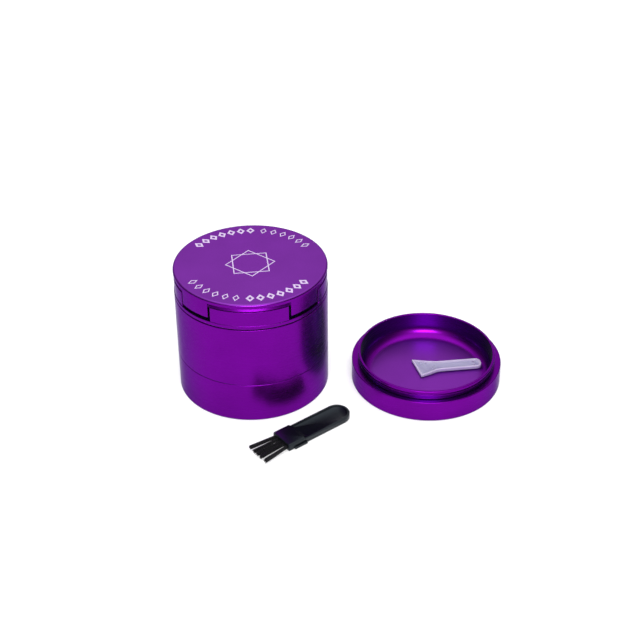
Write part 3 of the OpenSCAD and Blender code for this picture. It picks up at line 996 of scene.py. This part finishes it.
def sector_angles(gap, turn):
    """Angles round the axis that hold the edges of four gaps exactly, and whether the stretch
    after each angle lies in a gap."""
    angles = []
    quarter = math.pi / 2
    land = quarter - gap
    gap_steps = max(4, round(TURN_STEPS * gap / (2 * math.pi)))
    land_steps = max(4, round(TURN_STEPS * land / (2 * math.pi)))
    for i in range(4):
        middle = turn + math.pi / 4 + i * quarter
        start, end = middle - gap / 2, middle + gap / 2
        angles += [(start + gap * k / gap_steps, True) for k in range(gap_steps)]
        angles += [(end + land * k / land_steps, False) for k in range(land_steps)]
    return angles


def castellated_mesh(shared_top, gap_chain, land_chain, shared_foot, gap, turn):
    """A turned solid whose outline takes one of two chains between its shared stretches, with a
    flat wall wherever the chain changes. The first and last points of both chains are the same."""
    mesh = bmesh.new()
    angles = sector_angles(gap, turn)
    names = {}

    def point(key, r, z, k):
        """One vertex of the outline at one angle, made once. All angles share one on the axis."""
        if r < TINY:
            k = 0
        index = (key, k)
        if index not in names:
            a = angles[k][0]
            names[index] = mesh.verts.new((r * math.cos(a), r * math.sin(a), z))
        return names[index]

    def column(chain, label, k):
        """Vertices of one chain at one angle. Ends belong to both chains."""
        keys = [("end", 0)] + [(label, i) for i in range(1, len(chain) - 1)] + [("end", 1)]
        return [point(key, r, z, k) for key, (r, z) in zip(keys, chain)]

    def shared(points, label, k):
        """Vertices of a stretch that all angles have."""
        return [point((label, i), r, z, k) for i, (r, z) in enumerate(points)]

    count = len(angles)
    for k in range(count):
        n = (k + 1) % count
        in_gap = angles[k][1]
        chain, label = (gap_chain, "gap") if in_gap else (land_chain, "land")
        strips = []
        for at in (k, n):
            strips.append(shared(shared_top, "top", at) + column(chain, label, at)
                          + shared(shared_foot, "foot", at))
        for i in range(len(strips[0]) - 1):
            corners = [strips[0][i], strips[1][i], strips[1][i + 1], strips[0][i + 1]]
            face = list(dict.fromkeys(corners))
            if len(face) > 2:
                mesh.faces.new(face)
        if angles[k - 1][1] != in_gap:
            gap_side, land_side = column(gap_chain, "gap", k), column(land_chain, "land", k)
            mesh.faces.new(gap_side + land_side[-2:0:-1])
    return mesh


def bevelled(piece, width, upright=None, upright_width=0.0, segments=3):
    """Rounds the sharp edges of a clean mesh and keeps its flats flat. Upright edges at one
    radius can have a round of their own."""
    widest = max(width, upright_width)
    mesh = bmesh.new()
    mesh.from_mesh(piece.data)
    weight = mesh.edges.layers.float.new("bevel_weight_edge")
    for edge in mesh.edges:
        if len(edge.link_faces) == 2 and edge.calc_face_angle() > math.radians(50):
            a, b = (v.co for v in edge.verts)
            stands = abs(a.z - b.z) > 0.9 * (a - b).length
            chosen = upright and stands and abs(a.xy.length - upright) < 0.05 * MM
            edge[weight] = (upright_width if chosen else width) / widest
    mesh.to_mesh(piece.data)
    mesh.free()
    modifier = piece.modifiers.new("bevel", "BEVEL")
    modifier.width = widest
    modifier.segments = segments
    modifier.limit_method = "WEIGHT"
    modifier.use_clamp_overlap = False
    modifier.harden_normals = True
    modifier.miter_outer = "MITER_ARC"
    return bake(piece)


class GRINDER_OT_castellated_ring(Operator):
    """Build the castellated ring with its upper teeth"""

    bl_idname = "grinder.castellated_ring"
    bl_label = "Castellated ring"

    def execute(self, context):
        s = sizes()
        outer, low, high = box_of("tooth_ring")
        seam = box_of("grinding_chamber")[2].z
        lip_foot = seam + 0.3 * MM
        lip_top = lip_foot + 1.6 * MM
        web_foot, web_top = lip_foot + 0.7 * MM, lip_foot + 2.9 * MM
        merlon, merlon_bore = outer - 0.2 * MM, outer - 2.9 * MM
        skirt = bore_radius(s) - 0.2 * MM
        hub_r = 6.5 * MM
        hub_top = web_top + 1.4 * MM
        hub_foot = seam - 0.1 * MM
        pocket_foot = hub_top - 3.2 * MM
        top = [(0, pocket_foot), (s.magnet_radius, pocket_foot), (s.magnet_radius, hub_top),
               (hub_r, hub_top), (hub_r, web_top)]
        gap_chain = [(merlon_bore, web_top), (merlon_bore, lip_top), (merlon, lip_top)]
        land_chain = [(merlon_bore, web_top), (merlon_bore, high.z), (merlon, high.z),
                      (merlon, lip_top)]
        upper, under = 0.15 * MM, 0.25 * MM
        skirt_foot, skirt_inner = lip_foot - 1.1 * MM, skirt - 0.6 * MM
        foot = [(outer - upper, lip_top), (outer, lip_top - upper), (outer, lip_foot + under),
                (outer - under, lip_foot), (skirt, lip_foot), (skirt, skirt_foot),
                (skirt_inner, skirt_foot), (skirt_inner, web_foot), (hub_r, web_foot),
                (hub_r, hub_foot), (0, hub_foot)]
        mesh = castellated_mesh(top, gap_chain, land_chain, foot, s.notch, s.head_turn)
        ring = finish_mesh("castellated_ring_shell", mesh, finish("anodised_wall"), sharp=CREASE)
        bevelled(ring, 0.16 * MM, segments=2)
        settle(ring, "castellated_ring", "anodised_body", "tooth_ring")
        tooth = tooth_template(low.z, web_foot + 0.3 * MM)
        settle(rings_of("upper_teeth", tooth, UPPER_ROWS), "castellated_ring", "anodised_body")
        return {"FINISHED"}


class GRINDER_OT_lid(Operator):
    """Build the lid with its rim, plug and four tabs"""

    bl_idname = "grinder.lid"
    bl_label = "Lid"

    def execute(self, context):
        s = sizes()
        outer, low, high = box_of("cap")
        _, _, merlon_high = box_of("tooth_ring")
        rim_foot = merlon_high.z + 1.7 * MM
        tab_foot = low.z + 0.28 * MM
        round_r, round_steps = 0.9 * MM, 10
        plug = outer - 3.2 * MM
        plug_inner = plug - 2.8 * MM
        cup, cup_low, cup_high = box_of("cap_magnet_cup")
        boss = cup + 1.6 * MM
        ceiling = low.z + 3.8 * MM
        turns = [math.pi / 2 * k / round_steps for k in range(round_steps + 1)]
        arc = [(outer - round_r + round_r * math.sin(a), high.z - round_r + round_r * math.cos(a))
               for a in turns]
        top = [(0, high.z), (outer - round_r - 0.1 * MM, high.z)] + arc
        shoulder = outer - 1.3 * MM
        shoulder_z = merlon_high.z + 0.1 * MM
        flare = outer - 0.45 * MM
        gap_chain = [(outer, rim_foot), (shoulder, rim_foot), (flare, shoulder_z),
                     (plug, shoulder_z), (plug, tab_foot)]
        land_chain = [(outer, rim_foot), (outer, tab_foot), (plug, tab_foot)]
        foot = [(plug, low.z), (plug_inner, low.z), (plug_inner, ceiling), (boss, ceiling),
                (boss, cup_low.z), (cup, cup_low.z), (cup, cup_high.z), (0, cup_high.z)]
        mesh = castellated_mesh(top, gap_chain, land_chain, foot, math.pi / 2 - s.tab,
                                s.head_turn + math.pi / 4)
        lid = finish_mesh("lid_shell", mesh, finish("anodised_lid"), sharp=CREASE)
        bevelled(lid, 0.2 * MM, outer, 0.5 * MM)
        settle(lid, "lid", "anodised_lid", "cap")
        return {"FINISHED"}


# ---------------------------------------------------------------- dish


class GRINDER_OT_dish(Operator):
    """Build the catcher dish"""

    bl_idname = "grinder.dish"
    bl_label = "Catcher dish"

    def execute(self, context):
        s = sizes()
        outer, low, high = box_of("catcher_dish")
        ledge = high.z - s.spigot_height
        bore = outer - s.ledge - s.spigot_wall
        floor = low.z + s.dish_floor
        outline = [(0, low.z, 0)] + spigot_outline(outer, low.z, ledge, s) + [
            (bore, high.z, 0.25 * MM), (bore, floor, s.dish_sweep), (0, floor, 0),
        ]
        mesh = bmesh.new()
        turn_mesh(mesh, rounded(outline, steps=10, ring=False), dish_centre(), ring=False)
        settle(finish_mesh("catcher_dish_shell", mesh, finish("anodised_dish")), "dish",
               "anodised_dish", "catcher_dish")
        return {"FINISHED"}


# ---------------------------------------------------------------- ornament


def outline_frame(mesh, corners, stroke, foot, top):
    """A thin closed frame that follows a polygon."""
    inner = inset_corners(corners, stroke)
    loops = [[mesh.verts.new((x, y, z)) for x, y, _ in edge]
             for edge, z in ((corners, foot), (corners, top), (inner, top), (inner, foot))]
    for a, b in zip(loops, loops[1:] + loops[:1]):
        for k in range(len(a)):
            n = (k + 1) % len(a)
            mesh.faces.new((a[k], a[n], b[n], b[k]))


def regular(count, across, up, turn=0.0):
    """Corners of an even polygon with its own half width and half height."""
    angles = [turn + 2 * math.pi * k / count for k in range(count)]
    return [(across * math.cos(a), up * math.sin(a), 0.0) for a in angles]


class GRINDER_OT_ornament(Operator):
    """Lay the lid's bared lines: two arcs of lozenges and an eight-pointed star"""

    bl_idname = "grinder.ornament"
    bl_label = "Lid ornament"

    def execute(self, context):
        s = sizes()
        _, _, high = box_of("cap")
        foot, top = high.z - 0.03 * MM, high.z + 0.02 * MM
        squares = []
        for turn in (math.radians(8), math.radians(53)):
            mesh = bmesh.new()
            outline_frame(mesh, regular(4, s.star_radius, s.star_radius, turn), s.stroke, foot, top)
            squares.append(finish_mesh("star", mesh, finish("bared_mark"), smooth=False))
        star = cut(squares[0], squares[1], "UNION")
        settle(star, "lid", "stainless")
        front = math.radians(-90)
        for name, stroke, outward, along, count, first, step in (
            ("thin_lozenges", s.stroke, 2.2 * MM, 1.4 * MM, 6, -57, 9.6),
            ("bold_lozenges", s.bold_stroke, 2.35 * MM, 1.75 * MM, 7, 3, 9.0),
        ):
            mesh = bmesh.new()
            outline_frame(mesh, regular(4, outward, along), stroke, foot, top)
            template = finish_mesh(name + "_template", mesh, None, smooth=False)
            arcs = [run_tree(name, ring_tree(), Piece=template, Count=count,
                             Radius=s.ornament_radius, Start=front + turn + math.radians(first),
                             Step=math.radians(step), Material=finish("bared_mark"))
                    for turn in (0.0, math.pi)]
            bpy.data.objects.remove(template)
            settle(join(name, arcs), "lid", "stainless")
        return {"FINISHED"}


# ---------------------------------------------------------------- scraper and brush


def drilled(piece, places, radius, low, high):
    """Drills holes along the local Z axes of some places."""
    mesh = bmesh.new()
    for place in places:
        drill = bmesh.new()
        turn_mesh(drill, [(0, low), (radius, low), (radius, high), (0, high)], ring=False, steps=24)
        bmesh.ops.recalc_face_normals(drill, faces=drill.faces)
        bmesh.ops.transform(drill, matrix=place, verts=drill.verts)
        data = bpy.data.meshes.new("drill")
        drill.to_mesh(data)
        drill.free()
        mesh.from_mesh(data)
        bpy.data.meshes.remove(data)
    return cut(piece, finish_mesh("drills", mesh, None))


class GRINDER_OT_scraper(Operator):
    """Build the plastic scraper that lies in the dish"""

    bl_idname = "grinder.scraper"
    bl_label = "Scraper"

    def execute(self, context):
        x, y = dish_centre()
        turn, tilt = math.radians(7.1), math.radians(-0.4)
        place = (Matrix.Translation((x, y, 2.2 * MM)) @ Matrix.Rotation(turn, 4, "Z")
                 @ Matrix.Translation((0, 1.3 * MM, 0)) @ Matrix.Rotation(tilt, 4, "Y"))
        # The outline as (x, y, fillet) in millimetres: from the slanted blade round the handle
        shape = [(-4.8, 6.1, 0.2), (-2.7, -6.0, 0.5), (1.4, -4.6, 6), (5.2, -2.95, 9),
                 (24.3, -2.85, 2.3), (24.3, 2.85, 2.3), (5.2, 2.95, 12), (0.9, 4.1, 9)]
        shape = [(a * MM, b * MM, c * MM) for a, b, c in shape]
        # Insets and heights in millimetres: a rounded foot, a raised rim and the sunk face in it
        levels = [(0.2, 0), (0.05, 0.06), (0, 0.2), (0, 1.24), (0.07, 1.42), (0.2, 1.5), (0.6, 1.5),
                  (0.75, 1.43), (0.85, 1.1), (0.98, 1.02)]
        mesh = bmesh.new()
        slab(mesh, in_mm([(shape, inset, height) for inset, height in levels]), Matrix(), 6)
        mesh.faces.ensure_lookup_table()
        mesh.faces[-1].material_index = 1
        neck, blade_end, thinning = 4 * MM, -4.8 * MM, 0.3
        bmesh.ops.bisect_plane(mesh, geom=mesh.verts[:] + mesh.edges[:] + mesh.faces[:],
                               plane_co=(neck, 0, 0), plane_no=(1, 0, 0))
        for vert in mesh.verts:
            taper = max(0.0, (neck - vert.co.x) / (neck - blade_end))
            vert.co.z *= 1 - thinning * taper
        piece = finish_mesh("scraper_plastic", mesh, finish("milky_plastic"), sharp=math.radians(40))
        piece.data.materials.append(finish("milky_thin"))
        holes = [Matrix.Translation((21.2 * MM, side * 1.1 * MM, 0)) for side in (-1, 1)]
        drilled(piece, holes, 0.6 * MM, -1 * MM, 3 * MM)
        piece.data.transform(place)
        settle(piece, "scraper_tool", "milky_plastic", "scraper")
        return {"FINISHED"}


def brush_place():
    """Frame of the brush: X runs from its head to the end of its handle."""
    return Matrix.Translation((13.1 * MM, -47.2 * MM, 0)) @ Matrix.Rotation(math.radians(39), 4, "Z")


def tuft_places():
    """Frames of the five tufts, each with its tuft along +Z. Sides are shares of the half width,
    and leans are millimetres at the tips: the outer two tufts stand apart."""
    places = []
    half_width, height = 3.85 * MM, 1.6 * MM
    for side, lean in ((-1, -1.3), (-0.5, -0.3), (0, 0.1), (0.5, 0.3), (1, 1.3)):
        fan = -math.atan(lean * MM / sizes().tuft_length)
        places.append(Matrix.Translation((0, side * half_width, height))
                      @ Matrix.Rotation(fan, 4, "Z") @ Matrix.Rotation(math.radians(-91), 4, "Y"))
    return places


class GRINDER_OT_brush(Operator):
    """Build the brush's handle with its head, nib and tuft holes"""

    bl_idname = "grinder.brush"
    bl_label = "Brush handle"

    def execute(self, context):
        paddle, hollow = rectangle(0, 33.7, 5.25, 0.6, 5.25), rectangle(9.2, 32.6, 4.15, 0.5, 4.15)
        head = rectangle(-0.05, 8, 5.3, 0.5, 0.5)
        nib = [(2.4 * MM, -5.95 * MM, 0.4 * MM), (9.2 * MM, -5.95 * MM, 0.4 * MM),
               (8.6 * MM, -4.9 * MM, 0.1 * MM), (3.0 * MM, -4.9 * MM, 0.1 * MM)]
        # Outlines with insets and heights in millimetres: a paddle with its hollow, a head, a nib
        solids = (
            [(paddle, 0.3, 0), (paddle, 0.09, 0.09), (paddle, 0, 0.3), (paddle, 0, 2.1),
             (paddle, 0.09, 2.31), (paddle, 0.3, 2.4), (hollow, -0.2, 2.4), (hollow, -0.05, 2.33),
             (hollow, 0.05, 1.95), (hollow, 0.3, 1.8)],
            [(head, 0.3, 0.05), (head, 0, 0.3), (head, 0, 2.7), (head, 0.15, 3.05), (head, 0.5, 3.2)],
            [(nib, 0.15, 0.06), (nib, 0, 0.2), (nib, 0, 1.1), (nib, 0.2, 1.3)],
        )
        pieces = []
        for levels in solids:
            mesh = bmesh.new()
            slab(mesh, in_mm(levels), Matrix(), 8)
            pieces.append(finish_mesh("brush_handle_plastic", mesh, finish("black_plastic")))
        handle = pieces[0]
        for extra in pieces[1:]:
            cut(handle, extra, "UNION")
        drilled(handle, tuft_places(), 0.8 * MM, -2.6 * MM, 2 * MM)
        handle.data.transform(brush_place())
        settle(handle, "brush", "black_plastic", "brush_handle")
        return {"FINISHED"}


class GRINDER_OT_bristles(Operator):
    """Grow the brush's five tufts and finish the staples that hold them"""

    bl_idname = "grinder.bristles"
    bl_label = "Bristles"

    def execute(self, context):
        s = sizes()
        rooted = 1.9 * MM
        tufts = []
        for seed, place in enumerate(tuft_places()):
            tuft = run_tree("tuft", tuft_tree(), Filaments=s.bristles, Foot=-rooted,
                            Length=s.tuft_length + rooted, Radius=s.tuft_radius, Spread=0.05,
                            Filament=s.filament, Seed=7 * seed + 3, Material=finish("bristle_nylon"))
            tuft.data.transform(brush_place() @ place)
            tufts.append(tuft)
        settle(join("bristles", tufts), "brush", "bristle", "bristle_tufts")
        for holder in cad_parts["tuft_anchors"].material_slots:
            holder.material = finish("stainless")
        return {"FINISHED"}


# ---------------------------------------------------------------- stage


def white_paper():
    """Plain white paper with faint fibres."""
    material, nodes, shader = new_material("white_paper")
    place = nodes.add("ShaderNodeTexCoord").outputs["Object"]
    fibre = noise(nodes, place, 700, 3.0)
    nodes.link(mix_colour(nodes, fibre, (0.78, 0.78, 0.785), (0.82, 0.82, 0.82)),
               shader.inputs["Base Color"])
    set_shader(shader, Roughness=0.9, Specular_IOR_Level=0.1, Emission_Color=(1, 1, 1),
               Emission_Strength=0.2)
    return material


def front_softbox():
    """A wide light in front of the set and above it, turned towards the stack's foot."""
    light = bpy.data.lights.new("front_softbox", "AREA")
    light.shape = "RECTANGLE"
    light.size, light.size_y = 0.42, 0.26
    light.energy = 4.2
    lamp = bpy.data.objects.new("front_softbox", light)
    lamp.location = (0.05, -0.62, 0.47)
    lamp.rotation_euler = (-lamp.location).to_track_quat("-Z", "Y").to_euler()
    return lamp


def viewpoint():
    """A long lens in front of the set and above it, looking down at 31 degrees."""
    camera = bpy.data.cameras.new("camera")
    camera.sensor_width = 36
    camera.lens = 72.86
    camera.shift_x, camera.shift_y = -0.0220, -0.1205
    eye = bpy.data.objects.new("camera", camera)
    eye.location = (0.03493, -0.45136, 0.33324)
    eye.rotation_euler = (math.radians(59.242), 0, 0)
    return eye


def studio_world():
    """A soft arch of light from back to front over the object, with dark sides."""
    world = bpy.data.worlds.new("studio")
    world.use_nodes = True
    nodes = Nodes(world.node_tree)
    split = nodes.add("ShaderNodeSeparateXYZ")
    nodes.link(nodes.add("ShaderNodeTexCoord").outputs["Generated"], split.inputs[0])
    arch = nodes.ramp(nodes.math("ABSOLUTE", split.outputs[0]), [
        (0.0, (1.0, 1.0, 1.0)), (0.4, (0.9, 0.9, 0.9)), (0.75, (0.2, 0.2, 0.22)),
        (1.0, (0.08, 0.08, 0.10)),
    ])
    zenith = nodes.ramp(split.outputs[2], [
        (0.0, (1, 1, 1)), (0.7, (1, 1, 1)), (0.92, (2.3, 2.3, 2.3)),
    ])
    light = nodes.multiply(arch, zenith)
    nodes.link(light, world.node_tree.nodes["Background"].inputs["Color"])
    return world


class GRINDER_OT_stage(Operator):
    """Build the floor, the light and the camera"""

    bl_idname = "grinder.stage"
    bl_label = "Stage"

    def execute(self, context):
        scene = context.scene
        scene.view_settings.view_transform = "Standard"
        mesh = bmesh.new()
        bmesh.ops.create_grid(mesh, x_segments=1, y_segments=1, size=4.0)
        floor = finish_mesh("floor", mesh, white_paper(), smooth=False)
        floor.location.z = -0.2 * MM
        scene.world = studio_world()
        scene.camera = viewpoint()
        for item in (front_softbox(), scene.camera):
            scene.collection.objects.link(item)
        return {"FINISHED"}


class GRINDER_PT_panel(Panel):
    """Lists the building steps"""

    bl_idname = "GRINDER_PT_panel"
    bl_label = "Hand grinder set"
    bl_space_type = "VIEW_3D"
    bl_region_type = "UI"
    bl_category = "Grinder"

    def draw(self, context):
        for step in STEPS:
            self.layout.operator(step.bl_idname)
        for group in (context.scene.grinder_sizes, context.scene.grinder_colours):
            for name in group.bl_rna.properties.keys():
                if name not in ("rna_type", "name"):
                    self.layout.prop(group, name)


STEPS = (
    GRINDER_OT_stage,
    GRINDER_OT_screen_section,
    GRINDER_OT_sieve,
    GRINDER_OT_grinding_section,
    GRINDER_OT_magnets,
    GRINDER_OT_castellated_ring,
    GRINDER_OT_lid,
    GRINDER_OT_ornament,
    GRINDER_OT_dish,
    GRINDER_OT_scraper,
    GRINDER_OT_brush,
    GRINDER_OT_bristles,
)
CLASSES = (GRINDER_PG_sizes, GRINDER_PG_colours, *STEPS, GRINDER_PT_panel)


def register():
    for cls in CLASSES:
        bpy.utils.register_class(cls)
    bpy.types.Scene.grinder_sizes = PointerProperty(type=GRINDER_PG_sizes)
    bpy.types.Scene.grinder_colours = PointerProperty(type=GRINDER_PG_colours)


def unregister():
    del bpy.types.Scene.grinder_colours
    del bpy.types.Scene.grinder_sizes
    for cls in reversed(CLASSES):
        bpy.utils.unregister_class(cls)


def main():
    register()
    for step in STEPS:
        group, operator = step.bl_idname.split(".")
        getattr(getattr(bpy.ops, group), operator)()


if __name__ == "__main__":
    main()
